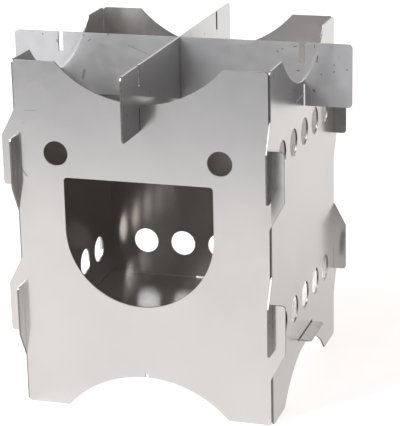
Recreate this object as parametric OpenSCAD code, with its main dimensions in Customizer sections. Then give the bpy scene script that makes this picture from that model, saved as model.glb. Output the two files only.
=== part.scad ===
// Flat-pack twig stove: seven flat pieces cut from thin steel sheet. Four walls hook into each
// other at the corners, a floor plate is held by tabs in the walls, and two crossing plates on
// top carry the pot. X runs to the right, Y to the back, Z up. The origin is on the ground in
// the middle of the firebox.

/* [Firebox] */
// Distance between the middles of two opposite walls
wall_pitch = 70; // [64:0.5:100]
// Height of the walls, from the feet to the pot rest
wall_h = 96.7; // [90:0.1:130]
// Thickness of the sheet that every piece is cut from
sheet_t = 0.5; // [0.3:0.1:1]
// Radius of the corners of the feet and of the upper horns
corner_r = 1; // [0.5:0.1:3]

/* [Scallops] */
// Chord of the round cut in the upper and lower edge of a wall
scallop_w = 45.8; // [30:0.1:54]
// Depth of the round cut
scallop_d = 10.3; // [6:0.1:11.2]
// Depth of the narrow notch in the middle of each round cut
notch_d = 1.1; // [0.6:0.1:1.5]

/* [Corner hooks] */
// Height of the middle of the lower hook joints above the ground
hook_z = 27.5; // [26:0.1:32]
// How far an ear reaches past the middle of the wall it hooks into
ear_w = 3.8; // [2.5:0.1:7]
// Distance from the middle of a joint to the square end of its ears
ear_end = 6.8; // [4:0.1:10]
// Distance from the middle of a joint to the far end of an ear's slanted edge
ear_slant = 14.4; // [11:0.1:17]
// Radius of the outer corner at the square end of an ear
ear_r = 0.9; // [0.4:0.1:2]

/* [Feed opening] */
// Width of the D-shaped feed opening in the front wall
mouth_w = 41.3; // [30:0.1:50]
// Height of the straight upper edge of the feed opening above the ground
mouth_top = 65.3; // [60:0.1:67]
// Height of the feed opening
mouth_h = 34.8; // [28:0.1:38]
// Radius of the upper corners of the feed opening
mouth_r = 1; // [0.5:0.1:4]
// Sideways offset of the feed opening and the two air holes above it
mouth_x = -1; // [-4:0.1:4]
// Diameter of the two air holes above the feed opening
air_d = 6.7; // [3:0.1:9]
// Distance between the two air holes
air_pitch = 45.3; // [36:0.1:50]
// Height of the air holes above the ground
air_z = 71.8; // [71.5:0.1:76]

/* [Vents] */
// Diameter of the vents in the side walls and the back wall
vent_d = 7.6; // [4:0.1:10]
// Distance between neighbouring vents in a row
vent_pitch = 11.75; // [10:0.05:13]
// Number of vents in a row
vent_n = 5; // [3:1:5]
// Height of the lower row above the ground, and depth of the upper row below the top
vent_z = 24.7; // [20:0.1:30]

/* [Floor] */
// Height of the underside of the floor plate
floor_z = 13.6; // [13:0.1:17]
// Width of a floor tab
tab_w = 14.6; // [8:0.2:24]
// How far a floor tab stands out of the wall
tab_out = 3.5; // [2:0.1:8]
// Radius of the corners of a floor tab
tab_r = 1; // [0.5:0.1:3]

/* [Pot supports] */
// Length of a pot support plate
support_l = 97; // [86:0.5:130]
// Height of a pot support plate
support_h = 17.4; // [14:0.1:24]
// Radius of the corners of a pot support plate
support_r = 1.2; // [0.5:0.1:4]
// Depth of the spare slots in the upper edge of a pot support
spare_slot_d = 5.5; // [3:0.1:7]

/* [Clearances] */
// Gap on each side of a sheet in the slot or notch that it passes through
slot_gap = 0.15; // [0.1:0.05:0.3]
// Free width beside a wall in a pot support's slot, towards the middle of the stove
slot_play = 0.7; // [0.2:0.05:1.5]
// Gap between the bottom of a slot and the edge that seats in it
seat_gap = 0.05; // [0.05:0.05:0.1]
// Gap between the floor plate and the walls
floor_gap = 0.25; // [0.1:0.05:0.8]
// Gap at each end of a floor tab in its slot
tab_end_gap = 0.6; // [0.2:0.1:1]
// Free height over a floor tab in its slot
tab_top_gap = 0.35; // [0.2:0.05:0.6]

/* [Hidden] */
$fn = 96;
eps = 0.01;
// Half of the distance between two opposite walls, where a neighbour's sheet lies
joint_u = wall_pitch / 2;
// Width of a slot that takes one sheet
slot_w = sheet_t + 2 * slot_gap;
// Half of a wall's width between its ears
wall_u = joint_u - slot_w / 2;
// Outer edge of the ears
ear_u = joint_u + ear_w;
// Radius of the round cuts, from their chord and depth
scallop_r = (pow(scallop_w / 2, 2) + pow(scallop_d, 2)) / (2 * scallop_d);
// Height of the seat that a pot support hangs on
seat_z = wall_h - scallop_d - notch_d;
// Lower edge of the pot supports, whose upper edge is level with the horns
support_z = wall_h - support_h;
// Inner and outer side of a pot support's slots, which take the walls
slot_in_u = joint_u - sheet_t / 2 - slot_play;
slot_out_u = joint_u + sheet_t / 2 + slot_gap;
// Height at which the two pot supports meet in their half-lap joint
lap_z = support_z + support_h / 2;
// Half width of the floor plate between the walls
floor_u = joint_u - sheet_t / 2 - floor_gap;
// Distance from the middle of the stove to the end of a floor tab
tab_u = joint_u + sheet_t / 2 + tab_out;

// Stock outside a rounded corner at the origin, the corner's solid being at -x and -y
module corner_waste(r) {
    difference() {
        translate([-r, -r]) square(r + 1);
        translate([-r, -r]) circle(r);
        translate([-r - 1, -r - 1]) square([1, r + 2]);
    }
}

// A w by h sheet with its lower edge at the origin's height and four rounded corners
module rounded_sheet(w, h, r) {
    difference() {
        translate([-w / 2, 0]) square([w, h]);
        for (side = [0, 1]) mirror([side, 0]) {
            translate([w / 2, h]) corner_waste(r);
            translate([w / 2, 0]) mirror([0, 1]) corner_waste(r);
        }
    }
}

// One hooked ear on the left edge, open downwards, with the middle of its joint at height z
module ear(z) {
    difference() {
        polygon([[-wall_u + eps, z + ear_slant], [-ear_u, z + ear_end],
                 [-ear_u, z - ear_end], [-wall_u + eps, z - ear_end]]);
        translate([-ear_u, z - ear_end]) rotate(180) corner_waste(ear_r);
        translate([-wall_u - slot_w, z - ear_end - 1]) square([slot_w, ear_end + 1 + seat_gap]);
    }
}

// Round cut and notch in the lower edge
module scallop() {
    translate([0, scallop_d - scallop_r]) circle(scallop_r);
    translate([-slot_w / 2, 0]) square([slot_w, scallop_d + notch_d]);
}

// Outline shared by the four walls, seen from outside. It looks the same after half a turn:
// the ears on the left hook down, and the ears on the right hook up.
module wall_outline() {
    difference() {
        rounded_sheet(2 * wall_u, wall_h, corner_r);
        scallop();
        translate([0, wall_h]) rotate(180) scallop();
    }
    for (half = [0, 1]) translate([0, half * wall_h]) rotate(half * 180) {
        ear(hook_z);
        ear(wall_h - hook_z);
    }
}

// Slot for a floor tab, which sits on the slot's lower edge
module tab_slot() {
    translate([-tab_w / 2 - tab_end_gap, floor_z - seat_gap])
        square([tab_w + 2 * tab_end_gap, seat_gap + sheet_t + tab_top_gap]);
}

// Two rows of round vents
module vents() {
    for (z = [vent_z, wall_h - vent_z], i = [0 : vent_n - 1])
        translate([(i - (vent_n - 1) / 2) * vent_pitch, z]) circle(d = vent_d);
}

// D-shaped feed opening, straight above and round below
module mouth() {
    drop = mouth_h - mouth_w / 2;
    translate([mouth_x, mouth_top - drop]) {
        intersection() {
            circle(d = mouth_w);
            translate([-mouth_w / 2, -mouth_w]) square([mouth_w, mouth_w + eps]);
        }
        difference() {
            translate([-mouth_w / 2, 0]) square([mouth_w, drop]);
            for (side = [0, 1]) mirror([side, 0])
                translate([mouth_w / 2, drop]) corner_waste(mouth_r);
        }
    }
}

// Two air holes above the feed opening
module air_holes() {
    for (side = [-1, 1])
        translate([mouth_x + side * air_pitch / 2, air_z]) circle(d = air_d);
}

// Stand a flat outline up as the wall on one side: 0 front, 1 right, 2 back, 3 left
module stand_up(side) {
    rotate(side * 90) translate([0, -joint_u, 0]) rotate([90, 0, 0])
        linear_extrude(sheet_t, center = true) children();
}

// Side or back wall with its vents and floor slot
module vented_wall(side) {
    stand_up(side) difference() {
        wall_outline();
        vents();
        tab_slot();
    }
}

module front_wall() {
    color("gainsboro") stand_up(0) difference() {
        wall_outline();
        mouth();
        air_holes();
    }
}

module right_wall() { color("lightgray") vented_wall(1); }

module back_wall() { color("darkgray") vented_wall(2); }

module left_wall() { color("silver") vented_wall(3); }

// Floor plate with a tab for the left, right and back wall
module floor_plate() {
    color("gray") translate([0, 0, floor_z]) linear_extrude(sheet_t) {
        translate([-floor_u, -floor_u]) square(2 * floor_u);
        for (turn = [0 : 90 : 180]) rotate(turn) translate([floor_u - 2 * tab_r, 0])
            rotate(-90) rounded_sheet(tab_w, tab_u - floor_u + 2 * tab_r, tab_r);
    }
}

// Pot support plate with open slots over the walls and spare slots in its upper edge
module support_outline() {
    difference() {
        translate([0, support_z]) rounded_sheet(support_l, support_h, support_r);
        for (side = [0, 1]) mirror([side, 0]) {
            translate([slot_in_u, support_z - 1])
                square([slot_out_u - slot_in_u, seat_z + seat_gap - support_z + 1]);
            translate([slot_in_u, wall_h - spare_slot_d])
                square([slot_out_u - slot_in_u, spare_slot_d + 1]);
        }
    }
}

// Left to right plate, with its half-lap slot open above
module pot_support_lower() {
    color("darkgray") rotate([90, 0, 0]) linear_extrude(sheet_t, center = true) difference() {
        support_outline();
        translate([-slot_w / 2, lap_z - seat_gap / 2]) square([slot_w, support_h]);
    }
}

// Front to back plate, with its half-lap slot open below
module pot_support_upper() {
    color("silver") rotate([90, 0, 90]) linear_extrude(sheet_t, center = true) difference() {
        support_outline();
        translate([-slot_w / 2, lap_z + seat_gap / 2 - support_h]) square([slot_w, support_h]);
    }
}

front_wall();
right_wall();
back_wall();
left_wall();
floor_plate();
pot_support_lower();
pot_support_upper();
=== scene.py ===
"""Looks of a flat-pack twig stove: seven sheets of thin rolled steel, four walls hooked together at
the corners, a floor plate on tabs and two crossing pot supports. Sizes are in millimetres until a
mesh is finished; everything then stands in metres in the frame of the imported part."""
import math

import bmesh
import bpy
from mathutils import Matrix, Vector


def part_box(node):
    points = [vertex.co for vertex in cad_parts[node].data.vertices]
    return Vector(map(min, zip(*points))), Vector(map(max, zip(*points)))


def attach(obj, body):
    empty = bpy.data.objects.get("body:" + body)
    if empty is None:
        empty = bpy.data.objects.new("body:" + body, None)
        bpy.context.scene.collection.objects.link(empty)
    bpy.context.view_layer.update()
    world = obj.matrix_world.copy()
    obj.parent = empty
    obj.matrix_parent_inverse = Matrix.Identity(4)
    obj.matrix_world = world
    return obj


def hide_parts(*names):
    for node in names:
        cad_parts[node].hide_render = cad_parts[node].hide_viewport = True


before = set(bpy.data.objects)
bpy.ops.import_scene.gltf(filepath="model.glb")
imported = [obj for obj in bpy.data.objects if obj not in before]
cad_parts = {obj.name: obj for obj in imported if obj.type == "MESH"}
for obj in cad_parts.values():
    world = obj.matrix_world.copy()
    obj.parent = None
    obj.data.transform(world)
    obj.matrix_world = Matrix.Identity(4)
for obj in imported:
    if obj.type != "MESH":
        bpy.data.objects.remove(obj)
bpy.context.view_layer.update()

MM = 0.001

# Sheet and walls
SHEET = 0.5
WALL_PITCH = 70.0
WALL_HEIGHT = 96.7
CORNER_RADIUS = 1.0
SCALLOP_WIDTH = 45.8
SCALLOP_DEPTH = 10.3
NOTCH_DEPTH = 1.1
HOOK_HEIGHT = 27.5
EAR_REACH = 3.8
EAR_END = 6.8
EAR_SLANT = 14.4
EAR_RADIUS = 0.9
SLOT_GAP = 0.15
SEAT_GAP = 0.05
SLOT_WIDTH = SHEET + 2 * SLOT_GAP
HALF_PITCH = WALL_PITCH / 2
INNER_SIDE = HALF_PITCH - SHEET / 2
OUTER_SIDE = HALF_PITCH + SHEET / 2
# The walls press together at the corners, where the photograph shows no daylight
CORNER_GAP = -0.02
EAR_SLOT = SHEET + 2 * CORNER_GAP
WALL_HALF = HALF_PITCH - EAR_SLOT / 2
EAR_EDGE = HALF_PITCH + EAR_REACH
# Feed opening and air holes
MOUTH_WIDTH = 41.3
MOUTH_TOP = 65.3
MOUTH_HEIGHT = 34.8
MOUTH_RADIUS = 1.0
MOUTH_OFFSET = -1.0
AIR_HOLE = 6.7
AIR_HOLES = 2
AIR_PITCH = 45.3
AIR_HEIGHT = 71.8
# Vents
VENT = 7.6
VENT_PITCH = 11.75
VENTS_IN_ROW = 5
VENT_ROWS = 2
VENT_HEIGHT = 24.7
# Floor plate, whose front edge lies a little further from its wall than the other three
FLOOR_HEIGHT = 13.6
FLOOR_SIDE_GAP = 0.08
FLOOR_FRONT_GAP = 0.25
FLOOR_HALF = INNER_SIDE - FLOOR_SIDE_GAP
FLOOR_FRONT = INNER_SIDE - FLOOR_FRONT_GAP
TAB_WIDTH = 14.6
TAB_OUT = 3.5
TAB_RADIUS = 1.0
TAB_END_GAP = 0.6
TAB_TOP_GAP = 0.35
# Pot supports. Their open slots stand off the walls, which shows as a bright line.
SUPPORT_LENGTH = 97.0
SUPPORT_HEIGHT = 17.4
SUPPORT_RADIUS = 1.2
SLOT_PLAY = 0.7
STRADDLE_GAP = 0.25
SPARE_SLOT_DEPTH = 5.5
SUPPORT_LOW = WALL_HEIGHT - SUPPORT_HEIGHT
# How finely round stretches are drawn, in degrees and in sides
CORNER_STEP = 9.0
ARC_STEP = 1.5
HOLE_SIDES = 72
# Points closer than this are one point
SAME_POINT = 1e-4
WELD_DISTANCE = 0.002
# Cut rims: their rounding, the slot of their material, and how flat a face is that isn't rim
RIM_ROUNDING = 0.05
RIM_STEPS = 2
RIM_ANGLE = 40
CUT_SLOT = 1
FLAT_FACE = 0.99
# A bent ear: how far it stands back, and how far below its joint it stands back fully
EAR_BEND = 0.36
EAR_BEND_FULL = 2.0


# Outlines, as points (u, v) in millimetres: u along the sheet, v up it

def arc(centre, radius, start, end, step):
    """Points on an arc between two angles in degrees, both ends included."""
    count = max(2, round(abs(end - start) / step))
    turns = (math.radians(start + (end - start) * i / count) for i in range(count + 1))
    return [(centre[0] + radius * math.cos(a), centre[1] + radius * math.sin(a)) for a in turns]


def mirrored(points):
    """The same outline on the other side of the middle, still running the same way round."""
    return [(-u, v) for u, v in reversed(points)]


def half_turned(points):
    """The outline after half a turn about the middle of a wall."""
    return [(-u, WALL_HEIGHT - v) for u, v in points]


def right_ear(height):
    """An ear on the right edge of a wall, hooked open upwards, from the foot of its slant up."""
    corner = (EAR_EDGE - EAR_RADIUS, height + EAR_END - EAR_RADIUS)
    return ([(WALL_HALF, height - EAR_SLANT), (EAR_EDGE, height - EAR_END)]
            + arc(corner, EAR_RADIUS, 0, 90, CORNER_STEP)
            + [(WALL_HALF + EAR_SLOT, height + EAR_END),
               (WALL_HALF + EAR_SLOT, height - SEAT_GAP),
               (WALL_HALF, height - SEAT_GAP)])


def half_scallop():
    """Right half of the round cut in the lower edge, from the middle notch to the foot."""
    radius = ((SCALLOP_WIDTH / 2) ** 2 + SCALLOP_DEPTH ** 2) / (2 * SCALLOP_DEPTH)
    centre = (0, SCALLOP_DEPTH - radius)
    notch = math.degrees(math.acos(SLOT_WIDTH / 2 / radius))
    foot = math.degrees(math.asin((radius - SCALLOP_DEPTH) / radius))
    return ([(SLOT_WIDTH / 2, SCALLOP_DEPTH + NOTCH_DEPTH)]
            + arc(centre, radius, notch, foot, ARC_STEP))


def wall_outline():
    """Outline shared by the four walls. It looks the same after half a turn."""
    low = (WALL_HALF - CORNER_RADIUS, CORNER_RADIUS)
    high = (WALL_HALF - CORNER_RADIUS, WALL_HEIGHT - CORNER_RADIUS)
    upper_scallop = [(u, WALL_HEIGHT - v) for u, v in reversed(half_scallop())]
    half = (half_scallop()
            + arc(low, CORNER_RADIUS, -90, 0, CORNER_STEP)
            + right_ear(HOOK_HEIGHT) + right_ear(WALL_HEIGHT - HOOK_HEIGHT)
            + arc(high, CORNER_RADIUS, 0, 90, CORNER_STEP)
            + upper_scallop)
    return half + half_turned(half)


def tab_slot():
    """Slot that a tab of the floor plate comes out of."""
    half = TAB_WIDTH / 2 + TAB_END_GAP
    low, high = FLOOR_HEIGHT - SEAT_GAP, FLOOR_HEIGHT + SHEET + TAB_TOP_GAP
    return [(-half, low), (half, low), (half, high), (-half, high)]


def feed_opening():
    """D-shaped opening, straight above and round below."""
    half = MOUTH_WIDTH / 2
    low = MOUTH_TOP - (MOUTH_HEIGHT - half)
    corner = (MOUTH_OFFSET + half - MOUTH_RADIUS, MOUTH_TOP - MOUTH_RADIUS)
    other = (MOUTH_OFFSET - half + MOUTH_RADIUS, MOUTH_TOP - MOUTH_RADIUS)
    return (arc((MOUTH_OFFSET, low), half, 180, 360, ARC_STEP)
            + arc(corner, MOUTH_RADIUS, 0, 90, CORNER_STEP)
            + arc(other, MOUTH_RADIUS, 90, 180, CORNER_STEP))


def floor_outline():
    """Square plate with a tab on the left, right and back."""
    end = OUTER_SIDE + TAB_OUT
    half = TAB_WIDTH / 2
    tab = ([(FLOOR_HALF, -half)]
           + arc((end - TAB_RADIUS, -half + TAB_RADIUS), TAB_RADIUS, -90, 0, CORNER_STEP)
           + arc((end - TAB_RADIUS, half - TAB_RADIUS), TAB_RADIUS, 0, 90, CORNER_STEP)
           + [(FLOOR_HALF, half)])
    right = [(FLOOR_HALF, -FLOOR_FRONT)] + tab + [(FLOOR_HALF, FLOOR_HALF)]
    back = [(-v, u) for u, v in tab]
    return right + back + mirrored(right)


def support_outline(lap_from_above):
    """Outline of a pot support, whose half-lap slot is open above or below."""
    slot_in = INNER_SIDE - SLOT_PLAY
    slot_out = OUTER_SIDE + SLOT_GAP
    foot_out = OUTER_SIDE + STRADDLE_GAP
    seat = WALL_HEIGHT - SCALLOP_DEPTH - NOTCH_DEPTH + SEAT_GAP
    spare = WALL_HEIGHT - SPARE_SLOT_DEPTH
    end, radius = SUPPORT_LENGTH / 2, SUPPORT_RADIUS
    right = ([(slot_in, SUPPORT_LOW), (slot_in, seat), (foot_out, seat), (foot_out, SUPPORT_LOW)]
             + arc((end - radius, SUPPORT_LOW + radius), radius, -90, 0, CORNER_STEP)
             + arc((end - radius, WALL_HEIGHT - radius), radius, 0, 90, CORNER_STEP)
             + [(slot_out, WALL_HEIGHT), (slot_out, spare),
                (slot_in, spare), (slot_in, WALL_HEIGHT)])
    half = SLOT_WIDTH / 2
    middle = SUPPORT_LOW + SUPPORT_HEIGHT / 2
    if lap_from_above:
        low = middle - SEAT_GAP / 2
        return (right + [(half, WALL_HEIGHT), (half, low), (-half, low), (-half, WALL_HEIGHT)]
                + mirrored(right))
    high = middle + SEAT_GAP / 2
    return ([(-half, SUPPORT_LOW), (-half, high), (half, high), (half, SUPPORT_LOW)]
            + right + mirrored(right))


# Node helpers. Each adds a node to a tree, and values may be other nodes' sockets.

def fill(tree, node, values):
    """Gives a node's inputs these values, or links them."""
    for name, value in values.items():
        if isinstance(value, bpy.types.NodeSocket):
            tree.links.new(value, node.inputs[name])
        else:
            node.inputs[name].default_value = value
    return node


def put(tree, kind, values=None, **settings):
    """A node with these properties and inputs."""
    node = tree.nodes.new(kind)
    for name, value in settings.items():
        setattr(node, name, value)
    return fill(tree, node, values or {})


def maths(tree, operation, *values, clamp=False):
    """Result of a sum."""
    return put(tree, "ShaderNodeMath", dict(enumerate(values)),
               operation=operation, use_clamp=clamp).outputs[0]


def vector_maths(tree, operation, *values):
    """Result of a sum on vectors, which is a number where the operation gives one."""
    node = put(tree, "ShaderNodeVectorMath", dict(enumerate(values)), operation=operation)
    return node.outputs["Value" if operation in ("DOT_PRODUCT", "DISTANCE", "LENGTH") else "Vector"]


def scaled(tree, vector, factor):
    """A vector or colour times a number."""
    return put(tree, "ShaderNodeVectorMath", {0: vector, "Scale": factor},
               operation="SCALE").outputs[0]


def combined(tree, **parts):
    """A vector from its X, Y and Z, where one left out is 0."""
    return put(tree, "ShaderNodeCombineXYZ", parts).outputs[0]


def separated(tree, vector):
    """The three numbers of a vector."""
    return put(tree, "ShaderNodeSeparateXYZ", {0: vector}).outputs


def ramp(tree, value, low, high, start=0.0, end=1.0):
    """Runs from start to end while the value goes from low to high, and stops there."""
    return put(tree, "ShaderNodeMapRange", {"Value": value, "From Min": low, "From Max": high,
                                            "To Min": start, "To Max": end}).outputs[0]


def mix(tree, factor, first, second, blend="MIX"):
    """A colour between two colours."""
    return put(tree, "ShaderNodeMix", {"Factor": factor, 6: first, 7: second},
               data_type="RGBA", blend_type=blend).outputs[2]


def use_group(tree, group, values):
    """Result of a node group."""
    return put(tree, "ShaderNodeGroup", values, node_tree=group).outputs[0]


def object_place(tree):
    """Place on the object, in metres."""
    return tree.nodes.new("ShaderNodeTexCoord").outputs["Object"]


def sockets(tree, way, rows):
    """Adds named sockets to a node group. A row is a name, a kind and maybe a starting value."""
    for name, kind, *value in rows:
        made = tree.interface.new_socket(name=name, in_out=way, socket_type="NodeSocket" + kind)
        if value:
            made.default_value = value[0]


def join_into(tree, *sources):
    """Geometry of all these sockets, in their order."""
    node = tree.nodes.new("GeometryNodeJoinGeometry")
    for source in sources:
        tree.links.new(source, node.inputs[0])
    return node.outputs[0]


def add_object(name, data):
    """A new object at the origin, in the scene."""
    made = bpy.data.objects.new(name, data)
    bpy.context.scene.collection.objects.link(made)
    return made


# Sheets

def make_sheet_cutter():
    """One tree that cuts, pierces, thickens and stands up every sheet of the stove."""
    tree = bpy.data.node_groups.new("sheet_cutter", "GeometryNodeTree")
    sockets(tree, "INPUT", [
        ("Outline", "Geometry"), ("Sheet Thickness", "Float", SHEET),
        ("Hole Diameter", "Float", VENT), ("Hole Pitch", "Float", VENT_PITCH),
        ("Holes in a Row", "Int", VENTS_IN_ROW), ("Rows", "Int", 0),
        ("First Row Height", "Float", VENT_HEIGHT), ("Row Spacing", "Float", 0.0),
        ("Row Offset", "Float", 0.0), ("Turn", "Vector"), ("Place", "Vector"),
        ("Face Steel", "Material"), ("Cut Steel", "Material")])
    sockets(tree, "OUTPUT", [("Sheet", "Geometry")])
    given = tree.nodes.new("NodeGroupInput").outputs

    def shape(kind, values, **settings):
        """Geometry out of a node of this kind."""
        return put(tree, "GeometryNode" + kind, values, **settings).outputs[0]

    # Round holes, on a grid that is centred on the row offset
    gaps = maths(tree, "SUBTRACT", given["Holes in a Row"], 1.0)
    span = maths(tree, "MULTIPLY", gaps, given["Hole Pitch"])
    start = maths(tree, "MULTIPLY_ADD", span, -0.5, given["Row Offset"])
    rows = shape("MeshLine", {
        "Count": given["Rows"], "Offset": combined(tree, Y=given["Row Spacing"]),
        "Start Location": combined(tree, X=start, Y=given["First Row Height"])}, mode="OFFSET")
    row = shape("MeshLine", {"Count": given["Holes in a Row"],
                             "Offset": combined(tree, X=given["Hole Pitch"])}, mode="OFFSET")
    grid = shape("InstanceOnPoints", {"Points": rows, "Instance": row})
    points = shape("RealizeInstances", {"Geometry": grid})
    radius = maths(tree, "MULTIPLY", given["Hole Diameter"], 0.5)
    circle = shape("CurvePrimitiveCircle", {"Resolution": HOLE_SIDES, "Radius": radius})
    circles = shape("InstanceOnPoints", {"Points": points, "Instance": circle})
    holes = shape("RealizeInstances", {"Geometry": circles})

    # Sheet, lying flat, with one steel on its sides and another on its rims
    outline = shape("MeshToCurve", {"Mesh": given["Outline"]})
    flat = shape("FillCurve", {"Curve": join_into(tree, outline, holes)})
    thick = put(tree, "GeometryNodeExtrudeMesh", {
        "Mesh": flat, "Offset": combined(tree, Z=1.0), "Offset Scale": given["Sheet Thickness"],
        "Individual": False}, mode="FACES").outputs
    upper = shape("SetMaterial", {"Geometry": thick["Mesh"], "Material": given["Face Steel"]})
    upper = shape("SetMaterial", {"Geometry": upper, "Selection": thick["Side"],
                                  "Material": given["Cut Steel"]})
    under = shape("SetMaterial", {"Geometry": flat, "Material": given["Face Steel"]})
    under = shape("FlipFaces", {"Mesh": under})
    welded = shape("MergeByDistance", {"Geometry": join_into(tree, upper, under),
                                       "Distance": WELD_DISTANCE})

    # Its middle goes to the origin, and from there it is turned and placed
    half_down = maths(tree, "MULTIPLY", given["Sheet Thickness"], -0.5)
    centred = shape("Transform", {"Geometry": welded, "Translation": combined(tree, Z=half_down)})
    placed = shape("Transform", {"Geometry": centred, "Rotation": given["Turn"],
                                 "Translation": given["Place"]})
    put(tree, "NodeGroupOutput", {"Sheet": shape("RealizeInstances", {"Geometry": placed})})
    return tree


def loops_mesh(name, loops):
    """A mesh of closed rings of edges, one for each outline."""
    verts, edges = [], []
    for loop in loops:
        first = len(verts)
        tidy = [p for i, p in enumerate(loop) if math.dist(p, loop[i - 1]) > SAME_POINT]
        verts += [(u, v, 0) for u, v in tidy]
        edges += [(first + i, first + (i + 1) % len(tidy)) for i in range(len(tidy))]
    mesh = bpy.data.meshes.new(name)
    mesh.from_pydata(verts, edges, [])
    return mesh


def cut_sheet(name, loops, turn, place, face_steel, across, holes=None):
    """Runs the sheet cutter on these outlines, rounds the rims and returns a plain mesh object.
    The finished sheet lies across the named axis. `holes` sets the cutter's rows of holes."""
    blank = add_object(name + "_blank", loops_mesh(name, loops))
    cutter = blank.modifiers.new("sheet_cutter", "NODES")
    cutter.node_group = SHEET_CUTTER
    values = {"Turn": [math.radians(a) for a in turn], "Place": place, "Face Steel": face_steel,
              "Cut Steel": CUT_STEEL[across], **(holes or {})}
    for socket in SHEET_CUTTER.interface.items_tree:
        if socket.in_out == "INPUT" and socket.name in values:
            cutter[socket.identifier] = values[socket.name]
    rounding = blank.modifiers.new("rim_rounding", "BEVEL")
    rounding.width = RIM_ROUNDING
    rounding.segments = RIM_STEPS
    rounding.limit_method = "ANGLE"
    rounding.angle_limit = math.radians(RIM_ANGLE)
    rounding.use_clamp_overlap = False
    ready = blank.evaluated_get(bpy.context.evaluated_depsgraph_get())
    mesh = bpy.data.meshes.new_from_object(ready)
    bpy.data.objects.remove(blank)
    work = bmesh.new()
    work.from_mesh(mesh)
    bmesh.ops.recalc_face_normals(work, faces=work.faces)
    for face in work.faces:
        if abs(face.normal["xyz".index(across)]) < FLAT_FACE:
            face.material_index = CUT_SLOT
    work.to_mesh(mesh)
    work.free()
    mesh.transform(Matrix.Scale(MM, 4))
    mesh.name = name
    return add_object(name, mesh)


# Finishes. Sizes of their patterns are in metres.

# How far the grain leans from level, and how far the sheets bow out of flat
GRAIN_TILT = 0.02
BOW_HEIGHT = 0.0001
# Patterns. Clouds, bow and grit are the same noise at four sizes.
CLOUD_NOISE = {"Detail": 3.0, "Roughness": 0.55}
CLOUDS = {"Patch Size": 0.022, "Contrast": 1.6}
FINE_CLOUDS = {"Patch Size": 0.003, "Contrast": 1.2}
BOW = {"Patch Size": 0.03, "Contrast": 1.0}
GRIT = {"Patch Size": 0.0006, "Contrast": 1.4}
SPECKS = {"Spacing": 0.0065, "Speck Size": 0.09}
SPECK_TONE = (0.12, 0.11, 0.10, 1)
# Share by which a sheet's roughness goes up and down
ROUGHNESS_SPREAD = 0.15
# Painted shade: the darker, browner tone multiplied onto the inside of the firebox
FIREBOX_PAINTED_SHADE = (0.86, 0.82, 0.78, 1)
# Cut rims: strength and turn of their ribs, least and most roughness, and how far a rim has to face
# up to begin to lose its painted side shade and to lose it fully
RIBS = {"Anisotropic": 0.5, "Anisotropic Rotation": 0.25}
RIM_ROUGHNESS = (0.22, 0.38)
PAINTED_SHADE_BY_FACING = (0.15, 0.45)


def shader_group(name, inputs, output):
    """A shader node group that puts out one number, and the sockets that give its inputs."""
    group = bpy.data.node_groups.new(name, "ShaderNodeTree")
    sockets(group, "INPUT", inputs)
    sockets(group, "OUTPUT", [(output, "Float")])
    return group, group.nodes.new("NodeGroupInput").outputs


def make_cloudiness():
    """Faint clouds left by handling and rolling: a value round 0.5 that drifts over the sheet."""
    group, given = shader_group("cloudiness", [
        ("Vector", "Vector"), ("Patch Size", "Float"), ("Contrast", "Float")], "Cloud")
    scale = maths(group, "DIVIDE", 1.0, given["Patch Size"])
    noise = put(group, "ShaderNodeTexNoise", {"Vector": given["Vector"], "Scale": scale,
                                              **CLOUD_NOISE}).outputs[0]
    off = maths(group, "ADD", noise, -0.5)
    cloud = maths(group, "MULTIPLY_ADD", off, given["Contrast"], 0.5, clamp=True)
    put(group, "NodeGroupOutput", {"Cloud": cloud})
    return group


def make_pinpricks():
    """Small dark specks and nicks, thinly spread: 1 in a speck and 0 elsewhere."""
    group, given = shader_group("pinpricks", [
        ("Vector", "Vector"), ("Spacing", "Float"), ("Speck Size", "Float"),
        ("Share", "Float")], "Specks")
    scale = maths(group, "DIVIDE", 1.0, given["Spacing"])
    cells = put(group, "ShaderNodeTexVoronoi", {"Vector": given["Vector"],
                                                "Scale": scale}).outputs
    near = ramp(group, cells["Distance"], given["Speck Size"], 0.0)
    pick = put(group, "ShaderNodeSeparateColor", {"Color": cells["Color"]}).outputs[0]
    few = maths(group, "LESS_THAN", pick, given["Share"])
    put(group, "NodeGroupOutput", {"Specks": maths(group, "MULTIPLY", near, few)})
    return group


def make_scratch():
    """One straight scratch between two points, as a mask that fades at its sides."""
    group, given = shader_group("scratch", [
        ("Vector", "Vector"), ("From", "Vector"), ("To", "Vector"), ("Width", "Float")], "Mask")
    along = vector_maths(group, "SUBTRACT", given["To"], given["From"])
    here = vector_maths(group, "SUBTRACT", given["Vector"], given["From"])
    passed = vector_maths(group, "DOT_PRODUCT", here, along)
    whole = vector_maths(group, "DOT_PRODUCT", along, along)
    share = maths(group, "DIVIDE", passed, whole, clamp=True)
    away = vector_maths(group, "DISTANCE", here, scaled(group, along, share))
    half = maths(group, "MULTIPLY", given["Width"], 0.5)
    put(group, "NodeGroupOutput", {"Mask": ramp(group, away, half, 0.0)})
    return group


def firebox_painted_shade_mask(tree, parts):
    """1 where painted shade falls inside the firebox: on the sides of the walls that face the fire,
    fading out down to the floor plate and up to the walls' upper edges."""
    reach = maths(tree, "MAXIMUM", *(maths(tree, "ABSOLUTE", parts[axis]) for axis in (0, 1)))
    inner = maths(tree, "LESS_THAN", reach, HALF_PITCH * MM)
    above = ramp(tree, parts[2], FLOOR_HEIGHT * MM, 2 * FLOOR_HEIGHT * MM)
    below = ramp(tree, parts[2], WALL_HEIGHT * MM, MOUTH_TOP * MM)
    return maths(tree, "MULTIPLY", inner, maths(tree, "MINIMUM", above, below))


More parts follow.
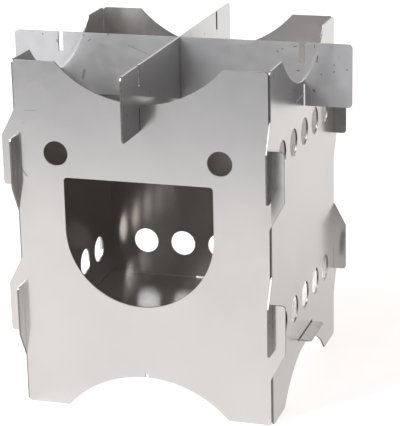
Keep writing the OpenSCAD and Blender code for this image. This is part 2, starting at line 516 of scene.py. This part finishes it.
def ear_bend(tree, parts):
    """Height in metres of the front wall's upper right ear, which handling has bent back."""
    joint = WALL_HEIGHT - HOOK_HEIGHT
    left = ramp(tree, parts[0], EAR_EDGE * MM, OUTER_SIDE * MM)
    curve = maths(tree, "MULTIPLY_ADD", left, left, -1.0)
    front = maths(tree, "LESS_THAN", parts[1], -WALL_HALF * MM)
    upper = ramp(tree, parts[2], (joint - EAR_SLANT) * MM, (joint - EAR_BEND_FULL) * MM)
    depth = maths(tree, "MULTIPLY", maths(tree, "MULTIPLY", front, upper), EAR_BEND * MM)
    return maths(tree, "MULTIPLY", curve, depth)


def bare_metal(name):
    """A metal, its tree and its shader."""
    material = bpy.data.materials.new(name)
    material.use_nodes = True
    shader = material.node_tree.nodes["Principled BSDF"]
    shader.inputs["Metallic"].default_value = 1.0
    return material, material.node_tree, shader


def rolled_steel(name, light_tone, dark_tone, roughness, grain, coat_ior, coat_roughness,
                 speck_share, marks, walls):
    """Smooth rolled stainless sheet, whose level grain smears reflections up and down. Steel of the
    walls also has painted shade inside the firebox, darker and browner, and the bent ear."""
    material, tree, shader = bare_metal(name)
    where = object_place(tree)
    parts = separated(tree, where)
    clouds = use_group(tree, CLOUDINESS, {"Vector": where, **CLOUDS})
    specks = use_group(tree, PINPRICKS, {"Vector": where, **SPECKS, "Share": speck_share})
    colour = mix(tree, specks, mix(tree, clouds, dark_tone, light_tone), SPECK_TONE)
    for start, end, width, tone in marks:
        line = use_group(tree, SCRATCH, {"Vector": where, "From": [c * MM for c in start],
                                         "To": [c * MM for c in end], "Width": width * MM})
        colour = mix(tree, line, colour, (*tone, 1))
        if tone == BRIGHT:
            fill(tree, shader, {"Metallic": maths(tree, "SUBTRACT", 1.0, line)})
    if walls:
        # Painted shade: the inside of the firebox made darker and browner
        colour = mix(tree, firebox_painted_shade_mask(tree, parts), colour, FIREBOX_PAINTED_SHADE, blend="MULTIPLY")
    fine = use_group(tree, CLOUDINESS, {"Vector": where, **FINE_CLOUDS})
    rough = ramp(tree, fine, 0.0, 1.0, roughness * (1 - ROUGHNESS_SPREAD),
                 roughness * (1 + ROUGHNESS_SPREAD))
    bow = use_group(tree, CLOUDINESS, {"Vector": where, **BOW})
    height = maths(tree, "MULTIPLY_ADD", bow, BOW_HEIGHT,
                   ear_bend(tree, parts) if walls else 0.0)
    bump = put(tree, "ShaderNodeBump", {"Height": height, "Strength": 1.0, "Distance": 1.0})
    fill(tree, shader, {
        "Base Color": colour, "Roughness": rough, "Normal": bump.outputs[0],
        "Anisotropic": grain, "Tangent": combined(tree, X=0.0, Y=GRAIN_TILT, Z=1.0),
        "Coat Weight": 1.0, "Coat IOR": coat_ior, "Coat Roughness": coat_roughness})
    return material


def cut_rim_steel(name, ribs_along, dark_tone, light_tone, side_shade):
    """Bare cut edge, finely ribbed through the sheet. Painted light and shade: the rims that face
    up keep the tone, and side_shade scales the tone of the others against theirs."""
    material, tree, shader = bare_metal(name)
    grit = use_group(tree, CLOUDINESS, {"Vector": object_place(tree), **GRIT})
    facing = separated(tree, tree.nodes.new("ShaderNodeNewGeometry").outputs["Normal"])
    # Painted light and shade: the tone is scaled by how far the rim faces up
    shade = ramp(tree, facing[2], *PAINTED_SHADE_BY_FACING, side_shade, 1.0)
    fill(tree, shader, {
        "Base Color": scaled(tree, mix(tree, grit, dark_tone, light_tone), shade),
        "Roughness": ramp(tree, grit, 0.0, 1.0, *RIM_ROUGHNESS),
        "Tangent": combined(tree, **{ribs_along: 1.0}), **RIBS})
    return material


# Marks on the sheets, each with its ends in the plane of its sheet and its width in mm, and its
# tone. The dark, grey and faint ones are marks of use; a bright one is a white line that is not
# metal.
FAINT = (0.50, 0.50, 0.51)
GREY = (0.32, 0.31, 0.31)
DARK = (0.14, 0.13, 0.13)
BRIGHT = (0.92, 0.91, 0.89)
FRONT_WALL_MARKS = [
    ((-31.8, 83.1), (-28.6, 83.3), 0.6, FAINT), ((-32.5, 79.9), (-32.4, 79.6), 0.7, FAINT),
    ((-8.7, 84.1), (-8.5, 83.6), 0.7, FAINT), ((-33.8, 67.2), (-32.0, 65.0), 0.4, DARK)]
RIGHT_WALL_MARKS = [
    ((-32.0, 95.6), (-31.1, 94.3), 0.7, DARK), ((-0.4, 82.6), (-8.7, 82.5), 1.0, BRIGHT)]
LOWER_SUPPORT_MARKS = [
    ((-14.8, 93.8), (-9.4, 91.5), 0.4, GREY), ((-28.0, 86.0), (-28.6, 83.7), 1.0, GREY),
    ((-40.1, 96.0), (-40.0, 95.6), 0.5, DARK), ((-35.8, 94.3), (-35.6, 93.7), 0.7, DARK),
    ((-28.0, 96.1), (-27.7, 95.9), 0.5, DARK), ((-26.5, 94.4), (-25.8, 95.0), 0.6, GREY),
    ((-20.9, 96.5), (-20.4, 96.4), 0.4, DARK), ((27.8, 94.1), (28.0, 93.9), 0.5, DARK),
    ((29.2, 94.8), (29.4, 94.7), 0.5, DARK), ((31.1, 90.4), (31.2, 90.3), 0.5, FAINT),
    ((32.4, 95.5), (33.2, 95.6), 0.4, DARK), ((33.3, 88.9), (33.9, 89.0), 0.5, DARK),
    ((37.9, 83.8), (38.1, 83.4), 0.9, DARK), ((38.2, 96.2), (38.1, 95.5), 0.4, DARK),
    ((39.0, 93.2), (38.8, 91.6), 0.5, DARK), ((40.0, 88.3), (40.0, 88.2), 0.6, DARK),
    ((43.4, 89.0), (43.6, 89.2), 0.5, DARK), ((43.5, 91.0), (43.6, 90.9), 0.6, DARK),
    ((44.9, 93.5), (44.7, 92.7), 0.5, FAINT), ((47.0, 89.7), (47.2, 89.9), 0.5, DARK)]


def in_plane(axis, place, marks):
    """The marks with their ends as points in space, on the plane at this place along an axis."""
    def lifted(point):
        """The mark's end, with its place along the axis put in."""
        return (*point[:axis], place, *point[axis:])
    return [(lifted(start), lifted(end), width, tone) for start, end, width, tone in marks]


SHEET_CUTTER = make_sheet_cutter()
CLOUDINESS = make_cloudiness()
PINPRICKS = make_pinpricks()
SCRATCH = make_scratch()
# Steel of the rims of a sheet that lies across each axis, each with painted light and shade: rims
# across y painted dark and darker on top than on their sides, rims across x painted darker on their
# sides than on top
CUT_STEEL = {
    "x": cut_rim_steel("cut_rim_steel_x", "X", dark_tone=(0.42, 0.41, 0.40, 1),
                       light_tone=(0.68, 0.67, 0.66, 1), side_shade=0.42),
    "y": cut_rim_steel("cut_rim_steel_y", "Y", dark_tone=(0.10, 0.098, 0.095, 1),
                       light_tone=(0.22, 0.215, 0.21, 1), side_shade=1.6),
    "z": cut_rim_steel("cut_rim_steel_z", "Z", dark_tone=(0.32, 0.315, 0.31, 1),
                       light_tone=(0.60, 0.59, 0.58, 1), side_shade=1.0)}
WALL_STEEL = rolled_steel(
    "wall_steel_finish", light_tone=(0.685, 0.668, 0.658, 1), dark_tone=(0.625, 0.608, 0.598, 1),
    roughness=0.20, grain=0.8, coat_ior=1.3, coat_roughness=0.50, speck_share=0.02, walls=True,
    marks=in_plane(1, -OUTER_SIDE, FRONT_WALL_MARKS) + in_plane(0, OUTER_SIDE, RIGHT_WALL_MARKS))
SUPPORT_STEEL = rolled_steel(
    "support_steel_finish", light_tone=(0.66, 0.66, 0.675, 1), dark_tone=(0.585, 0.585, 0.60, 1),
    roughness=0.42, grain=0.4, coat_ior=1.9, coat_roughness=0.08, speck_share=0.12, walls=False,
    marks=in_plane(1, -SHEET / 2, LOWER_SUPPORT_MARKS))


# The seven sheets

def dress(piece, body, node):
    """Keeps a finished sheet inside the box of the solid that it stands for, and hands it over."""
    low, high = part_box(node)
    for vertex in piece.data.vertices:
        vertex.co = [min(max(c, a), b) for c, a, b in zip(vertex.co, low, high)]
    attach(piece, body)
    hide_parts(node)


def stove_wall(name, side, opening, holes):
    """A wall with one opening and rows of round holes. Sides: 0 front, 1 right, 2 back, 3 left."""
    angle = math.radians(90 * side)
    place = (HALF_PITCH * math.sin(angle), -HALF_PITCH * math.cos(angle), 0)
    return cut_sheet(name, [wall_outline(), opening], (90, 0, 90 * side), place, WALL_STEEL,
                     "yx"[side % 2], holes)


def front_wall():
    """The wall with the feed opening and the air holes above it."""
    return stove_wall("front_wall_sheet", 0, feed_opening(), {
        "Rows": 1, "Holes in a Row": AIR_HOLES, "Hole Pitch": AIR_PITCH,
        "Hole Diameter": AIR_HOLE, "First Row Height": AIR_HEIGHT, "Row Offset": MOUTH_OFFSET})


def vented_wall(name, side):
    """A side wall or the back wall, with two rows of vents and the slot for a floor tab."""
    return stove_wall(name, side, tab_slot(), {
        "Rows": VENT_ROWS, "First Row Height": VENT_HEIGHT,
        "Row Spacing": WALL_HEIGHT - 2 * VENT_HEIGHT})


def floor_plate():
    """The level plate that carries the fire."""
    return cut_sheet("floor_plate_sheet", [floor_outline()], (0, 0, 0),
                     (0, 0, FLOOR_HEIGHT + SHEET / 2), WALL_STEEL, "z")


def pot_support(name, lap_from_above, turn, across):
    """A pot support, whose outline already has its height above the ground."""
    return cut_sheet(name, [support_outline(lap_from_above)], turn, (0, 0, 0), SUPPORT_STEEL,
                     across)


dress(front_wall(), "stove", "front_wall")
dress(vented_wall("right_wall_sheet", 1), "stove", "right_wall")
dress(vented_wall("back_wall_sheet", 2), "stove", "back_wall")
dress(vented_wall("left_wall_sheet", 3), "stove", "left_wall")
dress(floor_plate(), "stove", "floor_plate")
dress(pot_support("lower_support_sheet", True, (90, 0, 0), "y"),
      "lower_support", "pot_support_lower")
dress(pot_support("upper_support_sheet", False, (90, 0, 90), "x"),
      "upper_support", "pot_support_upper")


# Studio. Sizes and places are in metres.

# Softboxes one metre from the stove: bearing from the front towards the right in degrees, height
# in degrees, width and height, power in watts
SOFTBOX_DISTANCE = 1.0
LAMPS = {"front_softbox": (-8, 26, 0.25, 0.25, 1.4),
         "high_left_softbox": (-36, 33, 0.25, 0.5, 5.2),
         "overhead_left_softbox": (-45, 60, 0.35, 0.35, 2.6),
         "low_left_softbox": (-50, 17, 0.25, 0.25, 0.7),
         "left_softbox": (-95, 25, 0.6, 0.6, 1.6),
         "back_left_softbox": (-162, 18, 0.5, 0.5, 0.85),
         "back_right_softbox": (160, 18, 0.5, 0.5, 0.7)}
# The table's paint, and the lift that makes it white: its tint, and how strong it is near the stove
# and far from it, as the camera sees it and as steel mirrors it. It rises between two distances.
TABLE_TONE = 0.55
TABLE_TINT = (1.03, 1.0, 0.985)
TABLE_SEEN = (0.86, 1.0)
TABLE_MIRRORED = (0.61, 0.77)
LIFT_NEAR = 0.3
LIFT_FAR = 0.8
# The room as steel mirrors it, where the camera sees it at 1
ROOM_MIRRORED = 0.15
# A round white wall, with its step in degrees, and how far the table goes on behind it
BACKDROP_TONE = (1.0, 1.0, 1.0)
BACKDROP_RADIUS = 15.0
BACKDROP_HEIGHT = 2.0
BACKDROP_STEP = 6
TABLE_MARGIN = 1.0
# Cards over the table, one step above the other, which stand for the things round the real stove,
# and one for the painted shadow that the stove casts behind it: two corners, the tone and the width
# of the faded rim
CARDS = {"front_left_card": ((-1.5, -0.48), (0.05, -0.225), (0.575, 0.60, 0.64), 0.07),
         "front_right_card": ((-0.02, -2.0), (1.5, -0.25), (0.0, 0.0, 0.0), 0.03),
         "front_far_card": ((-1.5, -2.0), (0.02, -0.44), (0.0, 0.0, 0.0), 0.03),
         "near_right_card": ((0.0, -0.27), (1.5, -0.14), (0.1, 0.1, 0.1), 0.03),
         "right_card": ((0.03, -0.16), (1.5, -0.05), (0.1, 0.1, 0.1), 0.03),
         # Painted shadow: the stove's shadow on the table behind it, as the steel mirrors it
         "behind_painted_shadow_card": ((-0.09, 0.04), (0.034, 0.25), (0.1, 0.1, 0.1), 0.012),
         "far_back_card": ((-1.5, 0.24), (1.5, 2.0), (1.0, 0.99, 0.97), 0.03)}
CARD_STEP = 0.001
# The photograph's camera: lens and sensor in mm, place in mm, and in degrees how far it turns left
# from straight back, how far it dips, and how far it leans over to the right
LENS = 157.81
SENSOR = 36.0
CAMERA_PLACE = (155.97, -476.70, 206.26)
CAMERA_TURN = 17.5864
CAMERA_DIP = 17.7254
CAMERA_LEAN = 1.276
CLIP = (0.01, 40.0)


def mirrored_rays(tree, light):
    """1 for the rays that steel or glass sends out into the room."""
    return maths(tree, "ADD", light["Is Glossy Ray"], light["Is Transmission Ray"], clamp=True)


def studio_world():
    """Room over the table, which the camera sees white and the steel sees dim."""
    world = bpy.data.worlds.new("studio")
    bpy.context.scene.world = world
    world.use_nodes = True
    tree = world.node_tree
    tree.nodes.clear()
    light = tree.nodes.new("ShaderNodeLightPath").outputs
    level = maths(tree, "MULTIPLY_ADD", mirrored_rays(tree, light), ROOM_MIRRORED,
                  light["Is Camera Ray"])
    room = put(tree, "ShaderNodeBackground", {"Color": (1, 1, 1, 1), "Strength": level})
    put(tree, "ShaderNodeOutputWorld", {"Surface": room.outputs[0]})


def stage_material(name):
    """An empty material whose glow isn't counted as a lamp, and its tree."""
    material = bpy.data.materials.new(name)
    material.use_nodes = True
    material.cycles.emission_sampling = "NONE"
    material.node_tree.nodes.clear()
    return material, material.node_tree


def flat_stage(name, low, high, level, material):
    """A staged rectangle between two opposite corners at one height."""
    (x0, y0), (x1, y1) = low, high
    mesh = bpy.data.meshes.new(name)
    mesh.from_pydata([(x, y, level) for x, y in ((x0, y0), (x1, y0), (x1, y1), (x0, y1))],
                     [], [(0, 1, 2, 3)])
    mesh.materials.append(material)
    stage = add_object(name, mesh)
    return stage


def white_table():
    """Pale table. The camera and the steel see it white, with the stove's soft shadow kept."""
    material, tree = stage_material("pale_table")
    light = tree.nodes.new("ShaderNodeLightPath").outputs
    away = vector_maths(tree, "LENGTH", object_place(tree))
    seen = ramp(tree, away, LIFT_NEAR, LIFT_FAR, *TABLE_SEEN)
    reflected = ramp(tree, away, LIFT_NEAR, LIFT_FAR, *TABLE_MIRRORED)
    lift = maths(tree, "MULTIPLY_ADD", mirrored_rays(tree, light), reflected,
                 maths(tree, "MULTIPLY", light["Is Camera Ray"], seen))
    glow = put(tree, "ShaderNodeEmission", {"Color": (*TABLE_TINT, 1), "Strength": lift})
    paint = put(tree, "ShaderNodeBsdfDiffuse", {"Color": (TABLE_TONE, TABLE_TONE, TABLE_TONE, 1)})
    both = put(tree, "ShaderNodeAddShader", {0: paint.outputs[0], 1: glow.outputs[0]})
    put(tree, "ShaderNodeOutputMaterial", {"Surface": both.outputs[0]})
    reach = BACKDROP_RADIUS + TABLE_MARGIN
    flat_stage("table_top", (-reach, -reach), (reach, reach), 0.0, material)


def white_backdrop():
    """A low white wall far round the table, so that a level view ends in white too."""
    material, tree = stage_material("white_backdrop")
    glow = put(tree, "ShaderNodeEmission", {"Color": (*BACKDROP_TONE, 1)})
    put(tree, "ShaderNodeOutputMaterial", {"Surface": glow.outputs[0]})
    ring = [(BACKDROP_RADIUS * math.cos(a), BACKDROP_RADIUS * math.sin(a))
            for a in (math.radians(d) for d in range(0, 360, BACKDROP_STEP))]
    verts = [(x, y, z) for z in (0.0, BACKDROP_HEIGHT) for x, y in ring]
    count = len(ring)
    faces = [((i + 1) % count, i, i + count, (i + 1) % count + count) for i in range(count)]
    mesh = bpy.data.meshes.new("white_backdrop")
    mesh.from_pydata(verts, [], faces)
    mesh.materials.append(material)
    wall = add_object("white_backdrop", mesh)


def tone_card(name, low, high, tone, fade, level):
    """A card on the table, out of the camera's sight, that the steel mirrors. Its rim fades."""
    material, tree = stage_material(name)
    parts = separated(tree, object_place(tree))
    inside = 1.0
    for axis in (0, 1):
        for edge, inward in ((low[axis], fade), (high[axis], -fade)):
            rise = ramp(tree, parts[axis], edge, edge + inward)
            inside = maths(tree, "MINIMUM", inside, rise)
    clear = put(tree, "ShaderNodeBsdfTransparent")
    glow = put(tree, "ShaderNodeEmission", {"Color": (*tone, 1)})
    shown = put(tree, "ShaderNodeMixShader", {"Fac": inside, 1: clear.outputs[0],
                                              2: glow.outputs[0]})
    put(tree, "ShaderNodeOutputMaterial", {"Surface": shown.outputs[0]})
    card = flat_stage(name, low, high, level, material)
    card.visible_camera = False
    card.visible_diffuse = False
    card.visible_shadow = False


def softbox(name, bearing, height, width, tall, power):
    """A soft lamp aimed at the middle of the stove."""
    lamp = bpy.data.lights.new(name, "AREA")
    lamp.shape = "RECTANGLE"
    lamp.size = width
    lamp.size_y = tall
    lamp.energy = power
    a, e = math.radians(bearing), math.radians(height)
    way = Vector((math.sin(a) * math.cos(e), -math.cos(a) * math.cos(e), math.sin(e)))
    holder = add_object(name, lamp)
    holder.location = way * SOFTBOX_DISTANCE + Vector((0, 0, WALL_HEIGHT / 2 * MM))
    holder.rotation_euler = (-way).to_track_quat("-Z", "Y").to_euler()


def photo_camera():
    """Camera at the photograph's place and angle."""
    data = bpy.data.cameras.new("photo_view")
    data.sensor_width = SENSOR
    data.lens = LENS
    data.clip_start, data.clip_end = CLIP
    camera = add_object("photo_view", data)
    camera.matrix_world = (Matrix.Translation(Vector(CAMERA_PLACE) * MM)
                           @ Matrix.Rotation(math.radians(CAMERA_TURN), 4, "Z")
                           @ Matrix.Rotation(math.radians(90 - CAMERA_DIP), 4, "X")
                           @ Matrix.Rotation(math.radians(-CAMERA_LEAN), 4, "Z"))
    bpy.context.scene.camera = camera


studio_world()
white_table()
white_backdrop()
for layer, (card_name, card_setting) in enumerate(CARDS.items(), 1):
    tone_card(card_name, *card_setting, CARD_STEP * layer)
for lamp_name, lamp_setting in LAMPS.items():
    softbox(lamp_name, *lamp_setting)
photo_camera()
bpy.context.scene.view_settings.view_transform = "Standard"
